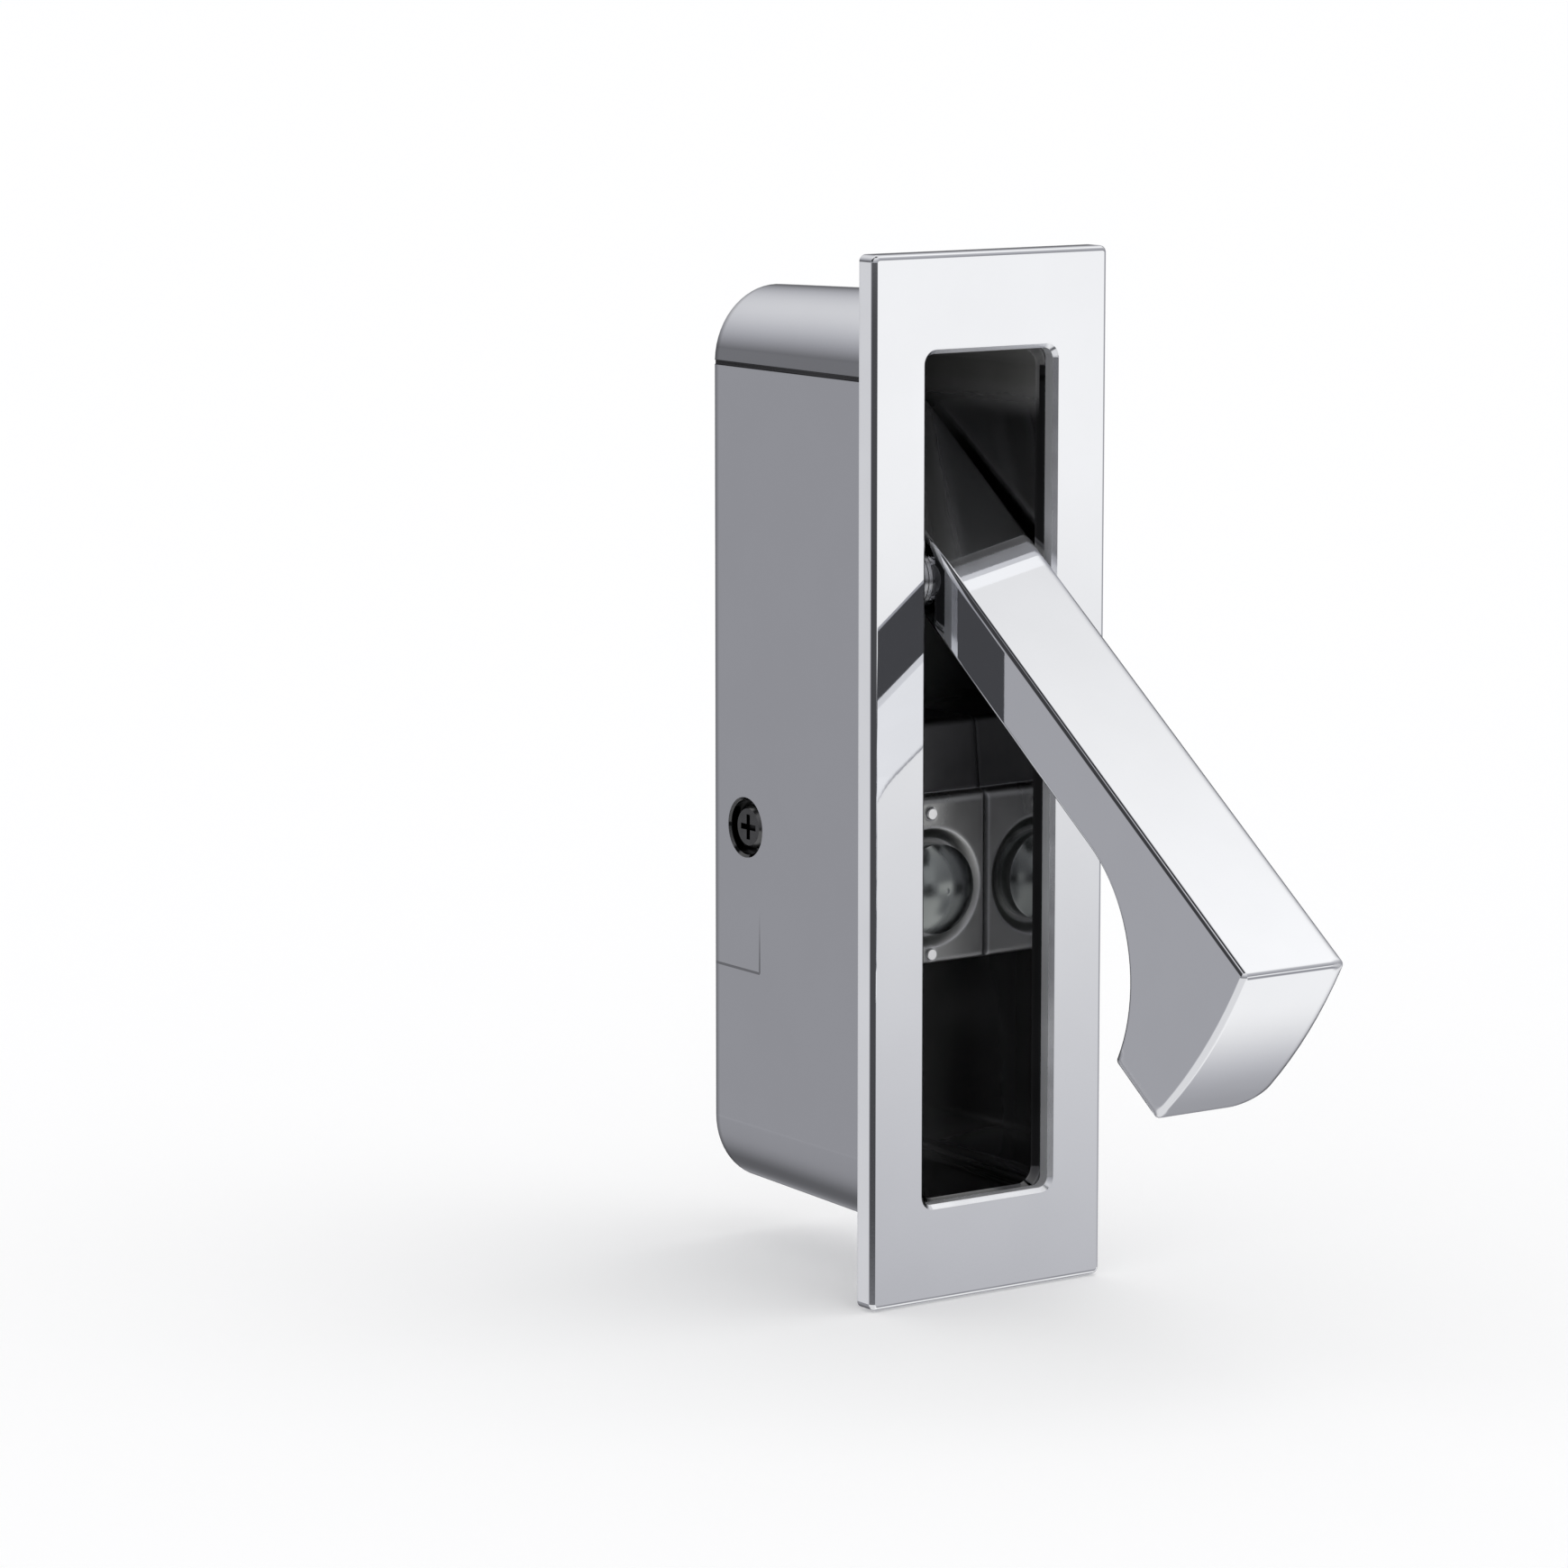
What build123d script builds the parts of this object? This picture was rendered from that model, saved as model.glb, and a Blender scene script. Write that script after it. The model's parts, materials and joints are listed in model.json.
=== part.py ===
from build123d import *
from math import radians, sqrt, tan
import os

# Sliding door edge pull: a flush face plate, a drafted case let into the door's edge, and a
# finger lever that tips out on a cross pin. The lever is drawn shut and turned to its open place.
# Frame: origin on the plate's back plane, X across the plate, Y into the door, Z up. Millimetres.

# Face plate
plate_height = 120.0
plate_width = 33.0
plate_thickness = 2.8
plate_corner_radius = 0.8
plate_edge_round = 0.6
window_height = 97.4
window_width = 18.0
window_corner_radius = 1.2
window_edge_chamfer = 0.5
rebate_depth = 1.0
rim_clearance = 0.05

# Case
case_width = 20.0
case_height = 110.2
case_depth = 40.0
case_draft = 1.72
case_back_chamfer = 0.6
rear_wall = 2.0
pocket_height = 97.0
pocket_width = 16.5
pocket_corner_radius = 2.0
pocket_draft = 1.85
pocket_bevel = 0.75
seam_width = 0.5
seam_depth = 0.3

# Concealed fixing screws through the rear wall
fixing_hole_diameter = 4.5
fixing_spacing = 48.0
fixing_centre_z = -12.0

# Lever
lever_width = 14.2
lever_length = 93.4
lever_top_gap = 2.3
lever_thickness = 7.65
lever_edge_round = 0.65
hook_depth = 23.4
hook_land = 9.0
hook_rise = 1.3
hook_end_radius = 65.0
hook_corner_radius = 4.0
scoop_radius = 17.7
hub_radius = 4.2
open_angle = 53.7

# Pivot
pivot_depth = 5.6
pivot_z = 22.9
pin_diameter = 4.0
pin_end_inset = 0.2
pin_blind_wall = 0.9
pad_setback = 0.3
running_clearance = 0.05
press_clearance = 0.02
washer_thickness = 0.55
washer_lever_gap = 0.05
washer_margin = 0.1

# Lever stop ribs on the case's side walls
stop_gap = 0.3
stop_rib_reach = 1.6
stop_rib_height = 6.0
stop_rib_start = 14.0
stop_rib_land = 5.0

# Stop block
block_front_depth = 11.15
block_bottom_z = -23.1
block_shoulder_z = -3.3
block_top_z = 5.0
block_step = 1.3
block_top_setback = 2.2
block_clearance = 0.05
block_edge_round = 0.5
block_shoulder_round = 1.2
block_brow_round = 1.0
block_corner_chamfer = 0.4
block_wall = 2.2
block_boss_diameter = 7.0

# Bumper in its dish, and the small pins above and below it
bumper_diameter = 10.5
bumper_z = -14.2
bumper_skirt = 2.2
dish_diameter = 14.1
dish_floor_margin = 0.5
dish_depth = 1.0
face_pin_diameter = 1.2
face_pin_spacing = 16.5
face_pin_centre_z = -13.75
face_pin_length = 2.35
face_pin_proud = 0.35

# Block screws
screw_from_rear = 7.0
screw_z = -9.5
screw_hole_diameter = 6.6
screw_hole_chamfer = 0.3
screw_web = 0.4
screw_head_diameter = 5.3
screw_head_height = 1.0
screw_head_chamfer = 0.45
screw_shank_diameter = 3.0
screw_shank_clearance = 0.1
screw_length = 7.0
recess_length = 3.0
recess_width = 0.7
recess_depth = 0.7

# Faces that meet at less than this angle, in degrees, count as one smooth run
smooth_angle = 5.0

# Worked-out places
front_y = -plate_thickness
rim_y = -rebate_depth
rear_y = case_depth
floor_y = case_depth - rear_wall
end_radius = case_width / 2
end_centre_z = case_height / 2 - end_radius
pivot_y = front_y + pivot_depth
pad_x = lever_width / 2 + washer_lever_gap + washer_thickness
pad_radius = pivot_y - rim_y - pad_setback
block_front_y = front_y + block_front_depth
dish_floor_y = block_front_y + dish_depth
screw_y = rear_y - screw_from_rear
case_slope = tan(radians(case_draft))
pocket_slope = tan(radians(pocket_draft))

pivot_axis = Axis((0, pivot_y, pivot_z), (1, 0, 0))


def facing_door(y):
    """Plane across the case at depth y, seen from the front, extruding into the door."""
    return Plane(origin=(0, y, 0), x_dir=(-1, 0, 0), z_dir=(0, 1, 0))


def side_view(x):
    """Plane at width x whose sketch coordinates are (Y, Z)."""
    return Plane(origin=(x, 0, 0), x_dir=(0, 1, 0), z_dir=(1, 0, 0))


def cross_rod(diameter, x_start, x_end, y, z):
    """Round bar along X."""
    start = Plane(origin=(x_start, y, z), x_dir=(0, 1, 0), z_dir=(1, 0, 0))
    return extrude(start * Circle(diameter / 2), x_end - x_start)


def case_half_width(y):
    """Outside half width of the drafted case at depth y."""
    return end_radius - case_slope * max(y, 0)


def pocket_half_width(y):
    """Half width of the pocket at depth y."""
    return pocket_width / 2 - pocket_slope * (y - rim_y)


def pocket(inset=0.0):
    """The drafted space inside the case, from the rim to the rear wall."""
    mouth = RectangleRounded(
        pocket_width - 2 * inset, pocket_height - 2 * inset, pocket_corner_radius - inset
    )
    return extrude(facing_door(rim_y) * mouth, floor_y - rim_y, taper=pocket_draft)


def pocket_mouth():
    """Bevel that widens the pocket to the window's width at the rim."""
    mouth = RectangleRounded(
        pocket_width + 2 * pocket_bevel,
        pocket_height + 2 * pocket_bevel,
        pocket_corner_radius + pocket_bevel,
    )
    return extrude(facing_door(rim_y) * mouth, 2 * pocket_bevel, taper=45)


def sharp_edges(solid):
    """Edges where two faces of a solid meet at an angle."""

    def is_sharp(edge):
        faces = [face for face in solid.faces() if edge in face.edges()]
        first, second = [face.normal_at(edge @ 0.5) for face in faces]
        return first.get_angle(second) > smooth_angle

    return solid.edges().filter_by(is_sharp)


def face_plate():
    """Flat plate, rounded at the front and rebated at the back, with a bevelled window."""
    outline = RectangleRounded(plate_width, plate_height, plate_corner_radius)
    opening = RectangleRounded(window_width, window_height, window_corner_radius)
    slab = extrude(facing_door(front_y) * outline, plate_thickness)
    slab = fillet(slab.faces().sort_by(Axis.Y)[0].edges(), plate_edge_round)
    slab -= extrude(facing_door(front_y) * opening, plate_thickness)
    window_edges = slab.faces().sort_by(Axis.Y)[0].inner_wires()[0].edges()
    slab = chamfer(window_edges, window_edge_chamfer)
    rim = SlotOverall(case_height + 2 * rim_clearance, case_width + 2 * rim_clearance, rotation=90)
    return slab - extrude(facing_door(rim_y) * rim, rebate_depth)


def case_outside():
    """Half-round-ended box: a straight rim in the plate, then drafted to the rear."""
    outline = SlotOverall(case_height, case_width, rotation=90)
    body = extrude(facing_door(0) * outline, case_depth, taper=case_draft)
    body = chamfer(body.faces().sort_by(Axis.Y)[-1].edges(), case_back_chamfer)
    return body + extrude(facing_door(rim_y) * outline, rebate_depth)


def seam_cut(side):
    """Fine parting groove along the top tangent line of one side wall."""
    start_at_plate = (Align.CENTER, Align.MIN, Align.CENTER)
    groove = Box(2 * seam_depth, 2 * case_depth, seam_width, align=start_at_plate)
    return Pos(side * case_half_width(0), 0, end_centre_z) * Rot(0, 0, side * case_draft) * groove


def pivot_pad(side):
    """Flat round pad on a side wall that carries the pin and a washer."""
    wall_x = (case_half_width(pivot_y) + pocket_half_width(pivot_y)) / 2
    return cross_rod(2 * pad_radius, side * pad_x, side * wall_x, pivot_y, pivot_z)


def open_place(depth, along):
    """Side-view point of the open lever: depth behind its front, distance up from its pivot."""
    shut = Vector(0, depth - pivot_depth, along)
    turned = shut.rotate(Axis.X, -open_angle)
    return pivot_y + turned.Y, pivot_z + turned.Z


def stop_rib(side):
    """Rib on a side wall, running forward from the rear wall to a land under the open lever."""
    land_low = open_place(lever_thickness + stop_gap, stop_rib_start)
    land_high = open_place(lever_thickness + stop_gap, stop_rib_start + stop_rib_land)
    bottom_z = land_low[1] - stop_rib_height
    rear = (floor_y + rear_wall / 2, land_high[1])
    rear_low = (floor_y + rear_wall / 2, bottom_z)
    profile = make_face(
        Polyline(land_low, land_high, rear, rear_low, (land_low[0], bottom_z), close=True)
    )
    rib_y = land_low[0]
    inner_x = pocket_half_width(rib_y) - stop_rib_reach
    wall_x = (case_half_width(rear_y) + pocket_half_width(floor_y)) / 2
    return extrude(side_view(side * inner_x) * profile, side * (wall_x - inner_x))


def screw_seat(side):
    """Counterbore, bevelled at its mouth, and clearance hole for a block screw in one side wall."""
    seat_x = pocket_half_width(screw_y) + screw_web
    mouth_x = case_half_width(screw_y) - screw_hole_chamfer
    outside_x = case_width
    hole_radius = screw_hole_diameter / 2
    bevel_length = outside_x - mouth_x
    bevel = Cone(
        hole_radius,
        hole_radius + bevel_length,
        bevel_length,
        align=(Align.CENTER, Align.CENTER, Align.MIN),
    )
    mouth = Pos(side * mouth_x, screw_y, screw_z) * Rot(0, side * 90, 0) * bevel
    head_room = cross_rod(screw_hole_diameter, side * seat_x, side * outside_x, screw_y, screw_z)
    hole_diameter = screw_shank_diameter + 2 * screw_shank_clearance
    shank_room = cross_rod(hole_diameter, 0, side * outside_x, screw_y, screw_z)
    return head_room + shank_room + mouth


def case():
    """Die-cast case with its pocket, pads, stop ribs and holes."""
    body = case_outside() - pocket() - pocket_mouth()
    hole_diameter = pin_diameter + 2 * press_clearance
    blind_x = case_half_width(pivot_y) - pin_blind_wall
    for side in (-1, 1):
        body += pivot_pad(side)
        body += stop_rib(side)
        body -= seam_cut(side)
        body -= screw_seat(side)
    body -= cross_rod(hole_diameter, -blind_x, case_width, pivot_y, pivot_z)
    for step in (-0.5, 0.5):
        hole_z = fixing_centre_z + step * fixing_spacing
        hole = facing_door(floor_y - rear_wall) * Pos(0, hole_z) * Circle(fixing_hole_diameter / 2)
        body -= extrude(hole, 3 * rear_wall)
    return body


def lever_outline():
    """Side profile of the shut lever without its hub: flat front, scooped back and hooked end."""
    top_z = window_height / 2 - lever_top_gap
    bottom_z = top_z - lever_length
    back_y = front_y + lever_thickness
    land_y = front_y + hook_depth
    tip_z = bottom_z + hook_rise
    inner_z = tip_z + hook_land
    scoop_y = back_y + scoop_radius
    scoop_z = inner_z + sqrt(scoop_radius**2 - (scoop_y - land_y) ** 2)
    scoop_middle = Vector(-scoop_radius, 0).rotate(Axis.Z, 45) + Vector(scoop_y, scoop_z)
    return make_face(
        [
            Line((front_y, bottom_z), (front_y, top_z)),
            Line((front_y, top_z), (back_y, top_z)),
            Line((back_y, top_z), (back_y, scoop_z)),
            ThreePointArc((back_y, scoop_z), (scoop_middle.X, scoop_middle.Y), (land_y, inner_z)),
            Line((land_y, inner_z), (land_y, tip_z)),
            RadiusArc((land_y, tip_z), (front_y, bottom_z), hook_end_radius),
        ]
    )


def lever():
    """Finger lever, drawn shut, eased where fingers reach, bored and turned open about its pin."""
    bar = extrude(side_view(0) * lever_outline(), lever_width / 2, both=True)
    land = bar.faces().filter_by(Axis.Y).sort_by(Axis.Y)[-1]
    right_corner = land.edges().filter_by(Axis.Z).sort_by(Axis.X)[-1]
    bar = fillet(right_corner, hook_corner_radius)
    top_edges = bar.faces().sort_by(Axis.Z)[-1].edges()
    eased_edges = [edge for edge in sharp_edges(bar) if edge not in top_edges]
    bar = fillet(eased_edges, lever_edge_round)
    half = lever_width / 2
    hub = cross_rod(2 * hub_radius, -half, half, pivot_y, pivot_z)
    bore_diameter = pin_diameter + 2 * running_clearance
    bore = cross_rod(bore_diameter, -lever_width, lever_width, pivot_y, pivot_z)
    return (bar + hub - bore).rotate(pivot_axis, -open_angle)


def pivot_pin():
    """Plain pin, seated blind on the left and driven flush from the right."""
    left_x = -(case_half_width(pivot_y) - pin_blind_wall)
    right_x = case_half_width(pivot_y) - pin_end_inset
    return cross_rod(pin_diameter, left_x, right_x, pivot_y, pivot_z)


def friction_washer(side):
    """Thin washer on the pin, between a pad and the lever."""
    inner_x = side * (pad_x - washer_thickness)
    disc = cross_rod(2 * (pad_radius - washer_margin), inner_x, side * pad_x, pivot_y, pivot_z)
    hole_diameter = pin_diameter + 2 * running_clearance
    return disc - cross_rod(hole_diameter, -case_width, case_width, pivot_y, pivot_z)


def block_profile():
    """Side profile of the stop block: rounded front, stepped shoulder and a sloped brow."""
    step_y = block_front_y + block_step
    brow_y = block_front_y + block_top_setback
    profile = make_face(
        Polyline(
            (block_front_y, block_bottom_z),
            (block_front_y, block_shoulder_z),
            (step_y, block_shoulder_z),
            (brow_y, block_top_z),
            (floor_y, block_top_z),
            (floor_y, block_bottom_z),
            close=True,
        )
    )
    rounds = (
        (block_front_y, block_bottom_z, block_edge_round),
        (block_front_y, block_shoulder_z, block_shoulder_round),
        (brow_y, block_top_z, block_brow_round),
    )
    for y, z, radius in rounds:
        corner = profile.vertices().sort_by_distance((y, z, 0))[0]
        profile = fillet(corner, radius)
    return profile


def block_plan():
    """The pocket seen from above, with the block's two front corners cut off."""
    half = pocket_half_width(block_front_y) - block_clearance
    front_half = half - block_corner_chamfer
    side_y = block_front_y + block_corner_chamfer
    corners = [(front_half, block_front_y), (half, side_y), (half, floor_y)]
    mirrored = [(-x, y) for x, y in reversed(corners)]
    plan = make_face(Polyline(*corners, *mirrored, close=True))
    return extrude(Plane.XY * plan, case_height / 2, both=True)


def block_core():
    """Space that the mould cores out of the stop block from behind, round the screw boss."""
    core_y = block_front_y + block_top_setback + block_wall
    core_width = 2 * (pocket_half_width(core_y) - block_clearance - block_wall)
    core_height = block_top_z - block_bottom_z - 2 * block_wall
    middle_z = (block_top_z + block_bottom_z) / 2
    mouth = facing_door(core_y) * Pos(0, middle_z) * Rectangle(core_width, core_height)
    space = extrude(mouth, floor_y - core_y)
    return space - cross_rod(block_boss_diameter, -case_width, case_width, screw_y, screw_z)


def bumper_dish():
    """Cone-sided dish in the block's face that holds the bumper."""
    floor_radius = bumper_diameter / 2 + dish_floor_margin
    dish = Cone(
        dish_diameter / 2,
        floor_radius,
        dish_depth,
        align=(Align.CENTER, Align.CENTER, Align.MIN),
    )
    return facing_door(block_front_y) * Pos(0, bumper_z, 0) * dish


def stop_block():
    """Moulded block across the pocket, with the dish for the bumper and holes for its pins."""
    body = extrude(side_view(0) * block_profile(), case_width, both=True)
    body = body & pocket(block_clearance) & block_plan()
    body = body - block_core() - bumper_dish()
    pin_hole = Circle(face_pin_diameter / 2 + press_clearance)
    for step in (-0.5, 0.5):
        hole_z = face_pin_centre_z + step * face_pin_spacing
        hole = facing_door(block_front_y) * Pos(0, hole_z) * pin_hole
        body -= extrude(hole, face_pin_length - face_pin_proud)
    return body - cross_rod(screw_shank_diameter, -case_width, case_width, screw_y, screw_z)


def bumper():
    """Soft dome: a short round skirt and a spherical cap that meets the shut lever."""
    tip_y = front_y + lever_thickness + stop_gap
    skirt_y = dish_floor_y - bumper_skirt
    radius = bumper_diameter / 2
    rise = skirt_y - tip_y
    dome_radius = (radius**2 + rise**2) / (2 * rise)
    half = make_face(
        [
            Line((tip_y, 0), (dish_floor_y, 0)),
            Line((dish_floor_y, 0), (dish_floor_y, radius)),
            Line((dish_floor_y, radius), (skirt_y, radius)),
            RadiusArc((skirt_y, radius), (tip_y, 0), -dome_radius),
        ]
    )
    return Pos(0, 0, bumper_z) * revolve(side_view(0) * half, Axis.Y)


def face_pin(step):
    """Small bright pin pressed into the block's face, above or below the bumper."""
    pin_z = face_pin_centre_z + step * face_pin_spacing
    start = facing_door(block_front_y - face_pin_proud)
    return extrude(start * Pos(0, pin_z) * Circle(face_pin_diameter / 2), face_pin_length)


def block_screw(side):
    """Pan-head screw with a cross recess, seated in the counterbore of one side wall."""
    seat_x = pocket_half_width(screw_y) + screw_web
    top_x = seat_x + screw_head_height
    tip_x = seat_x - screw_length
    head = cross_rod(screw_head_diameter, side * seat_x, side * top_x, screw_y, screw_z)
    outer_face = head.faces().filter_by(Axis.X).sort_by(Axis.X)[0 if side < 0 else -1]
    head = chamfer(outer_face.edges(), screw_head_chamfer)
    shank = cross_rod(screw_shank_diameter, side * tip_x, side * seat_x, screw_y, screw_z)
    body = head + shank
    for length, width in ((recess_length, recess_width), (recess_width, recess_length)):
        bar = Pos(side * top_x, screw_y, screw_z) * Box(2 * recess_depth, length, width)
        body -= bar
    return body


nodes = {
    "face_plate": face_plate(),
    "case": case(),
    "lever": lever(),
    "pivot_pin": pivot_pin(),
    "friction_washer_left": friction_washer(-1),
    "friction_washer_right": friction_washer(1),
    "stop_block": stop_block(),
    "bumper": bumper(),
    "face_pin_upper": face_pin(0.5),
    "face_pin_lower": face_pin(-0.5),
    "block_screw_left": block_screw(-1),
    "block_screw_right": block_screw(1),
}

os.makedirs("parts", exist_ok=True)
for name, shape in nodes.items():
    export_step(shape, f"parts/{name}.step")
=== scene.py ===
import json
from collections import namedtuple
from math import cos, radians, sin, tan

import bpy
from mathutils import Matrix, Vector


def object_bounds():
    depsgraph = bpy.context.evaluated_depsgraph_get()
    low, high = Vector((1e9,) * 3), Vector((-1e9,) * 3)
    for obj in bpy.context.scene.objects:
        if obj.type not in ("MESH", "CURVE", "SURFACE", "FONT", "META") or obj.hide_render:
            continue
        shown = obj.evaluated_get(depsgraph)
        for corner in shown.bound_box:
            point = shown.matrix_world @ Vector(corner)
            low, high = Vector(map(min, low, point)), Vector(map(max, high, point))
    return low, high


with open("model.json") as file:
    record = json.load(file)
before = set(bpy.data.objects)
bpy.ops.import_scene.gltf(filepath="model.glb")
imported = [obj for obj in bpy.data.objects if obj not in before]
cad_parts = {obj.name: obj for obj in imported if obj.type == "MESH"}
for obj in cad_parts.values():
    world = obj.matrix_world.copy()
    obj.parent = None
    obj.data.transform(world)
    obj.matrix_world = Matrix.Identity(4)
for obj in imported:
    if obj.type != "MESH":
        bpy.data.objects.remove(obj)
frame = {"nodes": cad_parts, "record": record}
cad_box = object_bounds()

# Camera: metres and degrees, at the photograph's viewing angle
CAMERA_PLACE = (-0.4025, -0.5305, 0.1011)
CAMERA_YAW = 35.31
CAMERA_PITCH = 8.72
CAMERA_LENS_MM = 135.3
CAMERA_CLIP_END = 100.0
SENSOR_MM = 36.0

# Studio levels, where 1 is white: the room brightens from the horizon up to ROOM_TOP degrees,
# and its dim parts are a little cooler than its bright ones
BACKGROUND_LEVEL = 1.0
DOME_LEVEL = 0.85
ROOM_LOW = 0.40
ROOM_HIGH = 0.85
ROOM_TOP = 70.0
COOL_LEVEL = 0.3
COOL_LIGHT = (0.98, 0.985, 1.05, 1.0)
WHITE_LEVEL = 1.0
WHITE_LIGHT = (1.0, 1.0, 1.0, 1.0)

# Floor, and the broad light above it, in metres and degrees
FLOOR_SIZE = 60.0
FLOOR_GAP = 0.0002
FLOOR_ALBEDO = 0.93
FLOOR_SPECK_TONE = 0.995
FLOOR_SPECK_SCALE = 40.0
FLOOR_ROUGHNESS = 0.95
FLOOR_FILL = 0.08
SUN_TILT = (28.0, 0.0, 55.0)
SUN_SPREAD = 60.0
SUN_LEVEL = 0.5

# Cards that the polished metal reflects, in degrees: azimuth from the back towards the right,
# elevation, half width, half height, softness of the sides and of the ends, then the levels
# at the lower and the upper end. A later card covers an earlier one.
Card = namedtuple(
    "Card", "name azimuth elevation half_width half_height side_soft end_soft low high"
)
CARDS = (
    Card("floor", 0.0, -52.5, 185.0, 37.5, 1.0, 3.0, 0.80, 0.80),
    Card("floor_front_right", 128.0, -46.0, 44.0, 26.0, 22.0, 10.0, 1.00, 1.00),
    Card("floor_rear_right", 60.0, -46.0, 22.0, 16.0, 20.0, 10.0, 0.36, 0.36),
    Card("floor_rear", 0.0, -33.0, 48.0, 20.0, 8.0, 4.0, 0.25, 0.32),
    Card("floor_right_shade", 60.0, -25.0, 12.0, 11.0, 4.0, 4.0, 0.06, 0.06),
    Card("floor_far_shade", 8.0, -17.0, 24.0, 4.0, 8.0, 2.5, 0.06, 0.06),
    Card("floor_rear_shade", 8.0, -34.0, 18.0, 10.0, 16.0, 6.0, 0.12, 0.12),
    Card("rear_low", 0.0, 4.0, 42.0, 6.0, 6.0, 1.5, 0.18, 0.18),
    Card("rear_high", 0.0, 30.0, 42.0, 22.0, 6.0, 2.0, 0.16, 1.10),
    Card("side_wall", -24.0, -8.5, 11.0, 6.5, 1.0, 1.5, 0.32, 0.32),
    Card("side_screen", -41.5, -8.5, 4.6, 9.0, 0.6, 1.0, 0.40, 0.40),
    Card("side_strip", -36.1, -8.5, 0.75, 9.0, 0.35, 1.0, 0.72, 0.72),
    Card("softbox", 100.0, 46.0, 19.6, 15.0, 7.5, 6.0, 1.12, 1.12),
    Card("front_low", 134.0, -30.0, 20.0, 12.0, 8.0, 5.0, 0.33, 0.33),
    Card("front_upper", 125.0, 24.0, 30.0, 22.0, 10.0, 8.0, 0.28, 0.60),
    Card("front_top", 143.0, -3.0, 18.0, 6.0, 5.0, 3.0, 1.02, 1.02),
    Card("front", 143.0, -12.0, 18.0, 6.5, 5.0, 2.0, 0.25, 1.03),
    Card("right_shade", 57.0, 13.0, 8.0, 12.0, 4.0, 4.0, 0.05, 0.05),
    Card("left_shade", -72.0, 42.0, 20.0, 32.0, 8.0, 6.0, 0.05, 0.05),
    Card("top_shade", 0.0, 90.0, 185.0, 17.0, 1.0, 4.0, 0.05, 0.05),
    Card("horizon_shade", -128.0, -8.5, 67.0, 6.0, 5.0, 2.0, 0.07, 0.07),
)

# Tones of the plated and bare metal, and of the painted shade laid on some of them
CHROME = (0.86, 0.868, 0.892, 1.0)
CAST_CHROME = (0.36, 0.363, 0.356, 1.0)
# painted shade on the stop block's brow above its shoulder
SHADED_BROW = (0.055, 0.055, 0.056, 1.0)
# Painted shade inside the case's pocket: on its walls, darker at its rear and upper end, darkest at
# its mouth
SHADED_POCKET_WALL = (0.48, 0.48, 0.49, 1.0)
SHADED_POCKET_REAR = (0.16, 0.16, 0.155, 1.0)
SHADED_POCKET_MOUTH = (0.07, 0.07, 0.07, 1.0)
BUTTON_STEEL = (0.22, 0.235, 0.228, 1.0)
# The mould mark's own dark line, and painted shade in the case's seam and screw holes, in the
# screw's cross recess and towards the case's rear edge
MARK_AND_SHADE_DARK = (0.018, 0.018, 0.018, 1.0)
RUBBED = (0.60, 0.60, 0.61, 1.0)
PIN_TONE = 0.9
WASHER_TONE = 0.62
SCREW_LIGHT = 0.17
SCREW_DARK = 0.08

# Roughness, and how metallic the duller surfaces are
PLATE_ROUGHNESS = 0.035
CHAMFER_ROUGHNESS = 0.22
WINDOW_ROUGHNESS = 0.42
WINDOW_METALLIC = 0.65
LEVER_ROUGHNESS = 0.03
CASE_ROUGHNESS = 0.05
REAR_ROUGHNESS = 0.45
REAR_METALLIC = 0.3
BLOCK_ROUGHNESS = 0.34
BUTTON_ROUGHNESS = 0.18
PIN_ROUGHNESS = 0.15
WASHER_ROUGHNESS = 0.25
SCREW_ROUGHNESS = 0.22

# Polish: clouds in the tone and the roughness, the finest waviness, and edges rubbed by use; on the
# stop block the bright edges are a painted highlight.
# An edge starts where the rounded and the true normal's dot product falls to EDGE_START.
CLOUD_SCALE = 90.0
CLOUD_DETAIL = 3.0
CLOUD_RANGE = (0.3, 0.7)
CLOUD_DULLING = 0.06
CLOUD_UNEVENNESS = (0.75, 1.25)
WAVE_SCALE = 2600.0
WAVE_STRENGTH = 0.02
WAVE_HEIGHT = 0.00002
EDGE_RADIUS = 0.0005
EDGE_SAMPLES = 3
EDGE_START = 0.995
EDGE_FULL = 0.9
EDGE_ROUGHNESS = 0.03
PLATED_WEAR = 0.2
# painted highlight along the stop block's edges, weaker on its brow
BLOCK_EDGE_HIGHLIGHT = 0.95
BROW_EDGE_HIGHLIGHT = 0.1
BUTTON_RIM_LIGHTENING = 0.6

# Turning lines on bare steel
LINE_STRETCH = (12.0, 1.0, 1.0)
LINE_SCALE = 900.0
LINE_RANGE = (0.2, 0.8)
LINE_SHADE = 0.85
LINE_UNEVENNESS = (0.7, 1.3)
LINE_STRENGTH = 0.1
LINE_HEIGHT = 0.00003

# Places on the face plate: its window, in metres
WINDOW_HALF_WIDTH = 0.00955
WINDOW_HALF_HEIGHT = 0.04925
PLATE_FACE_Y = -0.00278
WINDOW_CHAMFER_Y = -0.0023

# Places on the case, in metres and degrees: its pocket with its painted shade, parting seam, mould
# mark and rear edge
POCKET_HALF_WIDTH = 0.0085
POCKET_HALF_HEIGHT = 0.0487
POCKET_DEPTH = 0.0390
POCKET_DRAFT = 1.85
POCKET_MOUTH_Y = -0.0002
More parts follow.
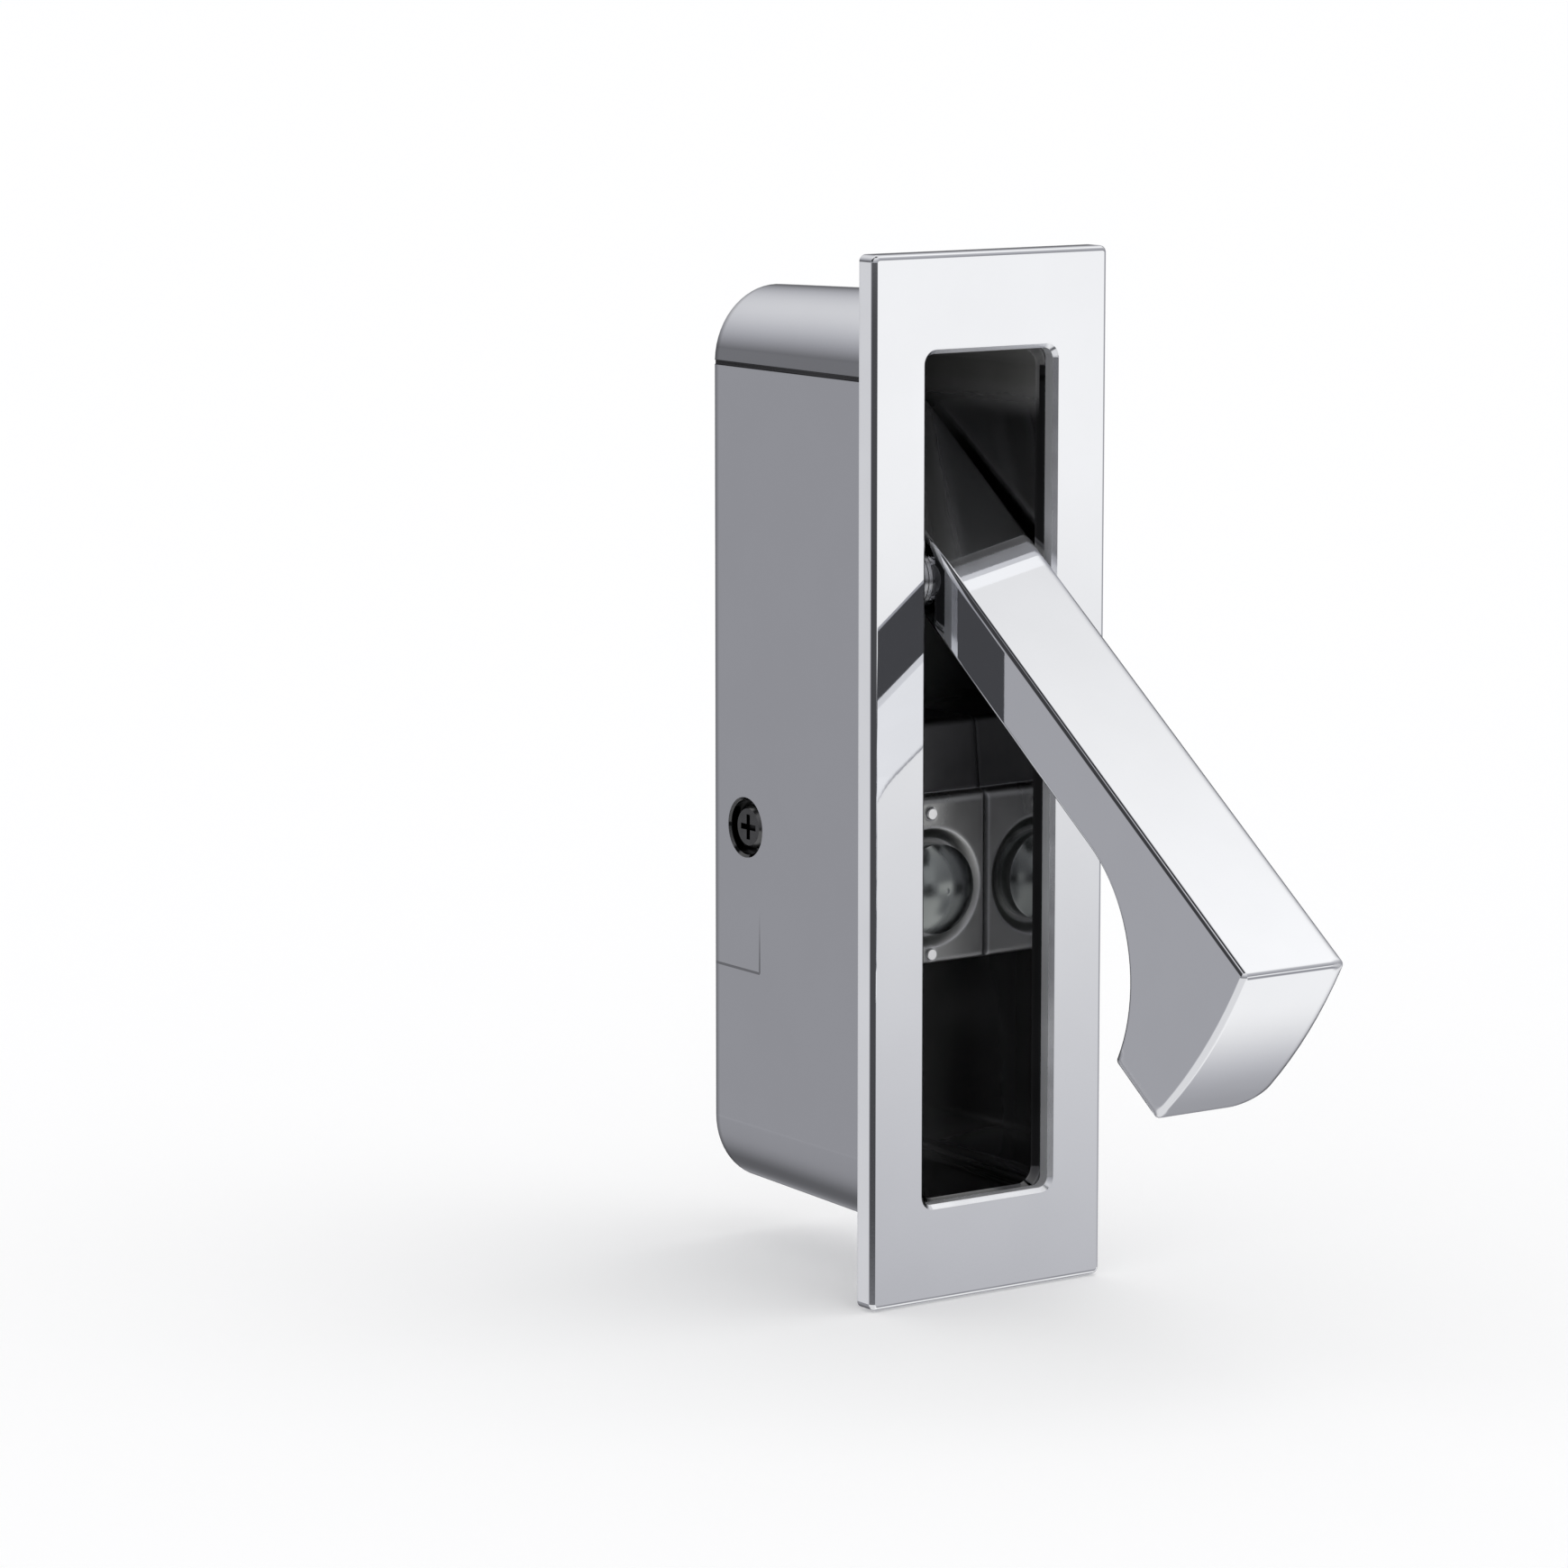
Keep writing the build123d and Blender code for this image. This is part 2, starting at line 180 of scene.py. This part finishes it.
# The pocket turns rougher, with painted shade, towards its rear and at its upper end
DULL_AND_SHADED_FROM_Y = 0.012
DULL_AND_SHADED_TO_Y = 0.032
UPPER_END_FROM_Z = 0.040
UPPER_END_TO_Z = 0.045
SEAM_Z = 0.0451
SEAM_HALF_WIDTH = 0.0003
MARK_Y = 0.0299
MARK_Z = -0.0266
MARK_FADE_Z = -0.0185
MARK_HALF_WIDTH = 0.00016
MARK_SHADE = 0.55
REAR_EDGE_Y = 0.0394
REAR_EDGE_WIDTH = 0.0010
REAR_EDGE_SHADE = 0.45

# Places on the block screws, the lever and the stop block, in metres
SCREW_Y = 0.0330
SCREW_Z = -0.0095
SCREW_HOLE_RADIUS = 0.0036
SCREW_TOP_X = 0.0085
RECESS_RADIUS = 0.0018
BUFFED_RADIUS = 0.0012
BUFFED_SAMPLES = 8
BUFFED_FROM_X = 0.0050
BUFFED_TO_X = 0.0060
BLOCK_SHOULDER_Z = -0.0032
BLOCK_EDGE_RADIUS = 0.0008

# The Mix node's two inputs and its output, by kind
MIX_SOCKETS = {"FLOAT": (2, 3, 0), "VECTOR": (4, 5, 1), "RGBA": (6, 7, 2)}

scene = bpy.context.scene


class Nodes:
    """Short calls for adding and wiring nodes in one tree."""

    def __init__(self, tree):
        self.tree = tree

    def add(self, kind, settings=None, **values):
        node = self.tree.nodes.new(kind)
        for name, value in (settings or {}).items():
            setattr(node, name, value)
        for name, value in values.items():
            self.feed(node.inputs[name], value)
        return node

    def feed(self, socket, value):
        if isinstance(value, bpy.types.NodeSocket):
            self.tree.links.new(value, socket)
        else:
            socket.default_value = value

    def math(self, operation, *values):
        node = self.add("ShaderNodeMath", {"operation": operation})
        for socket, value in zip(node.inputs, values):
            self.feed(socket, value)
        return node.outputs[0]

    def mix(self, factor, first, second, kind="FLOAT"):
        node = self.add("ShaderNodeMix", {"data_type": kind}, Factor=factor)
        first_socket, second_socket, result = MIX_SOCKETS[kind]
        self.feed(node.inputs[first_socket], first)
        self.feed(node.inputs[second_socket], second)
        return node.outputs[result]

    def mix_colour(self, factor, first, second):
        return self.mix(factor, first, second, "RGBA")

    def mix_vector(self, factor, first, second):
        return self.mix(factor, first, second, "VECTOR")

    def ramp(self, value, low, high, start=0.0, end=1.0, kind="SMOOTHSTEP"):
        node = self.add("ShaderNodeMapRange", {"interpolation_type": kind})
        for name, given in (("Value", value), ("From Min", low), ("From Max", high),
                            ("To Min", start), ("To Max", end)):
            self.feed(node.inputs[name], given)
        return node.outputs["Result"]

    def noise(self, place, scale, detail=2.0):
        node = self.add("ShaderNodeTexNoise", Vector=place, Scale=scale, Detail=detail)
        return node.outputs["Fac"]

    def split(self, vector):
        return self.add("ShaderNodeSeparateXYZ", Vector=vector).outputs

    def true_normal(self):
        return self.add("ShaderNodeNewGeometry").outputs["Normal"]

    def rounded_normal(self, radius, samples):
        return self.add("ShaderNodeBevel", {"samples": samples}, Radius=radius).outputs["Normal"]


def new_material(name):
    material = bpy.data.materials.new(name)
    material.use_nodes = True
    nodes = Nodes(material.node_tree)
    shader = material.node_tree.nodes["Principled BSDF"]
    place = nodes.add("ShaderNodeTexCoord").outputs["Object"]
    return material, nodes, shader, place


def grey(level):
    return (level, level, level, 1.0)


def near(nodes, value, middle, half_width):
    """1 where a value lies within half_width of the middle."""
    return nodes.math("COMPARE", value, middle, half_width)


def all_of(nodes, *masks):
    """1 where every mask is 1."""
    joined = masks[0]
    for mask in masks[1:]:
        joined = nodes.math("MULTIPLY", joined, mask)
    return joined


def edge_mask(nodes):
    """1 along the edges, 0 on the flats."""
    dot = nodes.add("ShaderNodeVectorMath", {"operation": "DOT_PRODUCT"})
    nodes.feed(dot.inputs[0], nodes.rounded_normal(EDGE_RADIUS, EDGE_SAMPLES))
    nodes.feed(dot.inputs[1], nodes.true_normal())
    return nodes.ramp(dot.outputs["Value"], EDGE_START, EDGE_FULL)


def polish(nodes, shader, place, colour, roughness, metallic=1.0, normal=None,
           edge_wear_and_highlight=PLATED_WEAR, edge_wear_and_highlight_tone=RUBBED):
    """Plated metal: cloudy tone, uneven polish, finest waviness, edges rubbed a little; the stop
    block's edges take a painted highlight through the same mix.
    """
    cloud = nodes.noise(place, CLOUD_SCALE, CLOUD_DETAIL)
    edge = edge_mask(nodes)
    dulling = nodes.ramp(cloud, *CLOUD_RANGE, 0.0, CLOUD_DULLING)
    dulled = nodes.mix_colour(dulling, colour, RUBBED)
    # edges mixed towards the worn tone: rubbing wear, and on the stop block a painted highlight
    rubbed_and_highlit = nodes.mix_colour(nodes.math("MULTIPLY", edge, edge_wear_and_highlight), dulled, edge_wear_and_highlight_tone)
    nodes.feed(shader.inputs["Base Color"], rubbed_and_highlit)
    clouded = nodes.ramp(cloud, *CLOUD_RANGE, *CLOUD_UNEVENNESS)
    uneven = nodes.math("MULTIPLY", roughness, clouded)
    worn = nodes.math("ADD", uneven, nodes.math("MULTIPLY", edge, EDGE_ROUGHNESS))
    nodes.feed(shader.inputs["Roughness"], worn)
    wave = nodes.noise(place, WAVE_SCALE)
    bump = nodes.add(
        "ShaderNodeBump", Strength=WAVE_STRENGTH, Distance=WAVE_HEIGHT, Height=wave
    )
    if normal:
        nodes.feed(bump.inputs["Normal"], normal)
    nodes.feed(shader.inputs["Normal"], bump.outputs["Normal"])
    nodes.feed(shader.inputs["Metallic"], metallic)


def plate_chrome():
    """Bright plate whose window walls are left duller than its face."""
    material, nodes, shader, place = new_material("plate_chrome_look")
    parts = nodes.split(place)
    chamfer = all_of(
        nodes,
        nodes.math("LESS_THAN", nodes.math("ABSOLUTE", parts["X"]), WINDOW_HALF_WIDTH),
        nodes.math("LESS_THAN", nodes.math("ABSOLUTE", parts["Z"]), WINDOW_HALF_HEIGHT),
        nodes.math("GREATER_THAN", parts["Y"], PLATE_FACE_Y),
    )
    wall = all_of(nodes, chamfer, nodes.math("GREATER_THAN", parts["Y"], WINDOW_CHAMFER_Y))
    roughness = nodes.mix(chamfer, PLATE_ROUGHNESS, CHAMFER_ROUGHNESS)
    roughness = nodes.mix(wall, roughness, WINDOW_ROUGHNESS)
    polish(nodes, shader, place, CHROME, roughness, nodes.mix(wall, 1.0, WINDOW_METALLIC))
    return material


def lever_chrome():
    """Bright lever, buffed rounder along its right side and round the hook's land."""
    material, nodes, shader, place = new_material("lever_chrome_look")
    parts = nodes.split(place)
    swing = radians(frame["record"]["behaviour"]["joints"][0]["range_deg"][1])
    points = [vertex.co for vertex in frame["nodes"]["lever"].data.vertices]
    reach = max(point.y * cos(swing) - point.z * sin(swing) for point in points)
    inwards = nodes.math(
        "SUBTRACT",
        nodes.math("MULTIPLY", parts["Y"], cos(swing)),
        nodes.math("MULTIPLY", parts["Z"], sin(swing)),
    )
    land = nodes.ramp(inwards, reach - 2 * BUFFED_RADIUS, reach - BUFFED_RADIUS)
    right = nodes.ramp(parts["X"], BUFFED_FROM_X, BUFFED_TO_X)
    buffed = nodes.rounded_normal(BUFFED_RADIUS, BUFFED_SAMPLES)
    normal = nodes.mix_vector(nodes.math("MAXIMUM", land, right), nodes.true_normal(), buffed)
    polish(nodes, shader, place, CHROME, LEVER_ROUGHNESS, normal=normal)
    return material


def pocket_mask(nodes, parts):
    """1 on the surfaces inside the case's pocket, 0 outside it."""
    drafted = nodes.math("MULTIPLY", parts["Y"], tan(radians(POCKET_DRAFT)))
    across = nodes.math("ADD", nodes.math("ABSOLUTE", parts["X"]), drafted)
    along = nodes.math("ABSOLUTE", parts["Z"])
    return all_of(
        nodes,
        nodes.math("LESS_THAN", across, POCKET_HALF_WIDTH),
        nodes.math("LESS_THAN", along, POCKET_HALF_HEIGHT),
        nodes.math("LESS_THAN", parts["Y"], POCKET_DEPTH),
    )


def screw_axis_mask(nodes, parts, radius):
    """1 within a radius of the block screws' common axis."""
    dy = nodes.math("SUBTRACT", parts["Y"], SCREW_Y)
    dz = nodes.math("SUBTRACT", parts["Z"], SCREW_Z)
    squared = nodes.math("MULTIPLY_ADD", dy, dy, nodes.math("MULTIPLY", dz, dz))
    return nodes.math("LESS_THAN", nodes.math("SQRT", squared), radius)


def mould_mark(nodes, parts):
    """Hairline corner left by a mould insert on the case's left side."""
    left = nodes.math("LESS_THAN", parts["X"], 0.0)
    upright = all_of(
        nodes,
        near(nodes, parts["Y"], MARK_Y, MARK_HALF_WIDTH),
        nodes.math("GREATER_THAN", parts["Z"], MARK_Z),
        nodes.ramp(parts["Z"], MARK_FADE_Z, MARK_Z),
    )
    foot = all_of(
        nodes,
        near(nodes, parts["Z"], MARK_Z, MARK_HALF_WIDTH),
        nodes.math("GREATER_THAN", parts["Y"], MARK_Y),
        nodes.math("LESS_THAN", parts["Y"], REAR_EDGE_Y),
    )
    return nodes.math("MULTIPLY", left, nodes.math("MAXIMUM", upright, foot))


def case_chrome():
    """Bright case with painted shade in its pocket, darker and rougher to the rear and at its upper
    end, and painted shade in its seam and screw holes and towards its rear edge.
    """
    material, nodes, shader, place = new_material("case_chrome_look")
    parts = nodes.split(place)
    inside = pocket_mask(nodes, parts)
    # painted shade and a rougher finish towards the pocket's rear and at its upper end
    upper_end = nodes.ramp(parts["Z"], UPPER_END_FROM_Z, UPPER_END_TO_Z)
    deep = nodes.math("MAXIMUM", nodes.ramp(parts["Y"], DULL_AND_SHADED_FROM_Y, DULL_AND_SHADED_TO_Y), upper_end)
    outside = nodes.math("SUBTRACT", 1.0, inside)
    # painted shade in the seam groove and in the screw holes
    seam = all_of(nodes, near(nodes, parts["Z"], SEAM_Z, SEAM_HALF_WIDTH), outside)
    hole = screw_axis_mask(nodes, parts, SCREW_HOLE_RADIUS)
    mark = nodes.math("MULTIPLY", mould_mark(nodes, parts), MARK_SHADE)
    # painted shade darkening towards the rear edge; the mould mark is the case's own hairline
    brink = nodes.ramp(
        parts["Y"], REAR_EDGE_Y - REAR_EDGE_WIDTH, REAR_EDGE_Y, 0.0, REAR_EDGE_SHADE
    )
    shaded = nodes.mix_colour(nodes.math("MAXIMUM", mark, brink), CHROME, MARK_AND_SHADE_DARK)
    # painted shade on the pocket's walls, rear and mouth
    mouth = nodes.math("LESS_THAN", parts["Y"], POCKET_MOUTH_Y)
    pocket = nodes.mix_colour(deep, SHADED_POCKET_WALL, SHADED_POCKET_REAR)
    colour = nodes.mix_colour(inside, shaded, pocket)
    colour = nodes.mix_colour(mouth, colour, SHADED_POCKET_MOUTH)
    colour = nodes.mix_colour(nodes.math("MAXIMUM", seam, hole), colour, MARK_AND_SHADE_DARK)
    rear = nodes.math("MULTIPLY", inside, deep)
    roughness = nodes.mix(rear, CASE_ROUGHNESS, REAR_ROUGHNESS)
    polish(nodes, shader, place, colour, roughness, nodes.mix(rear, 1.0, REAR_METALLIC))
    return material


def block_chrome():
    """Softly polished casting with a painted highlight along its edges and painted shade on its
    brow above the shoulder.
    """
    material, nodes, shader, place = new_material("block_chrome_look")
    brow = nodes.math("GREATER_THAN", nodes.split(place)["Z"], BLOCK_SHOULDER_Z)
    # painted shade on the brow above the shoulder
    colour = nodes.mix_colour(brow, CAST_CHROME, SHADED_BROW)
    normal = nodes.rounded_normal(BLOCK_EDGE_RADIUS, BUFFED_SAMPLES)
    # painted highlight along the edges, weaker on the brow
    edge_wear_and_highlight = nodes.mix(brow, BLOCK_EDGE_HIGHLIGHT, BROW_EDGE_HIGHLIGHT)
    polish(nodes, shader, place, colour, BLOCK_ROUGHNESS, normal=normal, edge_wear_and_highlight=edge_wear_and_highlight,
           edge_wear_and_highlight_tone=CHROME)
    return material


def bumper_steel():
    """Polished button, lighter along its rim."""
    material, nodes, shader, place = new_material("bumper_steel_look")
    polish(nodes, shader, place, BUTTON_STEEL, BUTTON_ROUGHNESS, edge_wear_and_highlight=BUTTON_RIM_LIGHTENING)
    return material


def turn(nodes, shader, place, dark, light, roughness):
    """Bare steel with fine turning lines round the X axis."""
    stretch = nodes.add("ShaderNodeMapping", Vector=place, Scale=LINE_STRETCH)
    lines = nodes.noise(stretch.outputs["Vector"], LINE_SCALE)
    nodes.feed(shader.inputs["Base Color"], nodes.mix_colour(lines, dark, light))
    smoother, rougher = (roughness * share for share in LINE_UNEVENNESS)
    uneven = nodes.ramp(lines, *LINE_RANGE, smoother, rougher)
    nodes.feed(shader.inputs["Roughness"], uneven)
    bump = nodes.add(
        "ShaderNodeBump", Strength=LINE_STRENGTH, Distance=LINE_HEIGHT, Height=lines
    )
    nodes.feed(shader.inputs["Normal"], bump.outputs["Normal"])
    shader.inputs["Metallic"].default_value = 1.0


def turned_steel(name, tone, roughness):
    material, nodes, shader, place = new_material(name)
    turn(nodes, shader, place, grey(tone * LINE_SHADE), grey(tone), roughness)
    return material


def screw_steel():
    """Plated screw with painted shade in its cross recess."""
    material, nodes, shader, place = new_material("screw_steel_look")
    parts = nodes.split(place)
    sunk = nodes.math("LESS_THAN", nodes.math("ABSOLUTE", parts["X"]), SCREW_TOP_X)
    # painted shade in the cross recess
    recess = all_of(nodes, sunk, screw_axis_mask(nodes, parts, RECESS_RADIUS))
    light = nodes.mix_colour(recess, grey(SCREW_LIGHT), MARK_AND_SHADE_DARK)
    dark = nodes.mix_colour(recess, grey(SCREW_DARK), MARK_AND_SHADE_DARK)
    turn(nodes, shader, place, dark, light, SCREW_ROUGHNESS)
    return material


def dress_nodes():
    looks = {
        "plate_chrome": plate_chrome(),
        "case_chrome": case_chrome(),
        "lever_chrome": lever_chrome(),
        "pin_steel": turned_steel("pin_steel_look", PIN_TONE, PIN_ROUGHNESS),
        "washer_steel": turned_steel("washer_steel_look", WASHER_TONE, WASHER_ROUGHNESS),
        "block_chrome": block_chrome(),
        "bumper_steel": bumper_steel(),
        "screw_steel": screw_steel(),
    }
    slots = {part["node"]: part["material_slot"] for part in frame["record"]["subparts"]}
    for name, piece in frame["nodes"].items():
        piece.data.materials.clear()
        piece.data.materials.append(looks[slots[name]])


def add_camera():
    data = bpy.data.cameras.new("camera")
    data.lens = CAMERA_LENS_MM
    data.sensor_width = SENSOR_MM
    data.clip_end = CAMERA_CLIP_END
    camera = bpy.data.objects.new("camera", data)
    camera.location = CAMERA_PLACE
    camera.rotation_euler = (radians(90 - CAMERA_PITCH), 0, radians(-CAMERA_YAW))
    scene.collection.objects.link(camera)
    scene.camera = camera


def add_floor():
    """Matt white floor that keeps the shadow; the metal sees the studio's floor cards instead."""
    floor_z = cad_box[0][2] - FLOOR_GAP
    bpy.ops.mesh.primitive_plane_add(size=FLOOR_SIZE, location=(0, 0, floor_z))
    floor = bpy.context.object
    floor.name = "floor"
    floor.visible_glossy = False
    material, nodes, shader, place = new_material("floor_white")
    speck = nodes.noise(place, FLOOR_SPECK_SCALE)
    tone = nodes.mix_colour(speck, grey(FLOOR_ALBEDO), grey(FLOOR_ALBEDO * FLOOR_SPECK_TONE))
    nodes.feed(shader.inputs["Base Color"], tone)
    shader.inputs["Roughness"].default_value = FLOOR_ROUGHNESS
    shader.inputs["Specular IOR Level"].default_value = 0.0
    shader.inputs["Emission Color"].default_value = WHITE_LIGHT
    seen = nodes.add("ShaderNodeLightPath").outputs["Is Camera Ray"]
    nodes.feed(shader.inputs["Emission Strength"], nodes.math("MULTIPLY", seen, FLOOR_FILL))
    floor.data.materials.append(material)


def card_mask(nodes, azimuth, elevation, card):
    turned = nodes.math("WRAP", nodes.math("SUBTRACT", azimuth, card.azimuth), 180.0, -180.0)
    aside = nodes.math("ABSOLUTE", turned)
    apart = nodes.math("ABSOLUTE", nodes.math("SUBTRACT", elevation, card.elevation))
    wide = nodes.ramp(aside, card.half_width + card.side_soft, card.half_width - card.side_soft)
    tall = nodes.ramp(apart, card.half_height + card.end_soft, card.half_height - card.end_soft)
    return nodes.math("MULTIPLY", wide, tall)


def card_level(nodes, elevation, card):
    if card.low == card.high:
        return card.low
    bottom = card.elevation - card.half_height
    top = card.elevation + card.half_height
    return nodes.ramp(elevation, bottom, top, card.low, card.high, "LINEAR")


def add_world():
    """White background and dome; polished metal reflects the room and its cards."""
    world = bpy.data.worlds.new("studio")
    scene.world = world
    world.use_nodes = True
    nodes = Nodes(world.node_tree)
    parts = nodes.split(nodes.add("ShaderNodeTexCoord").outputs["Generated"])
    azimuth = nodes.math("DEGREES", nodes.math("ARCTAN2", parts["X"], parts["Y"]))
    elevation = nodes.math("DEGREES", nodes.math("ARCSINE", parts["Z"]))
    level = nodes.ramp(elevation, 0.0, ROOM_TOP, ROOM_LOW, ROOM_HIGH)
    for card in CARDS:
        mask = card_mask(nodes, azimuth, elevation, card)
        level = nodes.mix(mask, level, card_level(nodes, elevation, card))
    path = nodes.add("ShaderNodeLightPath").outputs
    mirrored = nodes.math("MAXIMUM", path["Is Glossy Ray"], path["Is Transmission Ray"])
    lit = nodes.mix(mirrored, DOME_LEVEL, level)
    seen = nodes.mix(path["Is Camera Ray"], lit, BACKGROUND_LEVEL)
    tint = nodes.mix_colour(nodes.ramp(seen, COOL_LEVEL, WHITE_LEVEL), COOL_LIGHT, WHITE_LIGHT)
    background = world.node_tree.nodes["Background"]
    nodes.feed(background.inputs["Strength"], seen)
    nodes.feed(background.inputs["Color"], tint)


def add_sun():
    """Broad soft light from above, which the metal doesn't mirror."""
    data = bpy.data.lights.new("overhead_light", "SUN")
    data.energy = SUN_LEVEL
    data.angle = radians(SUN_SPREAD)
    sun = bpy.data.objects.new("overhead_light", data)
    sun.rotation_euler = [radians(angle) for angle in SUN_TILT]
    sun.visible_glossy = False
    scene.collection.objects.link(sun)


add_camera()
add_floor()
add_world()
add_sun()
dress_nodes()

scene.view_settings.view_transform = "Standard"
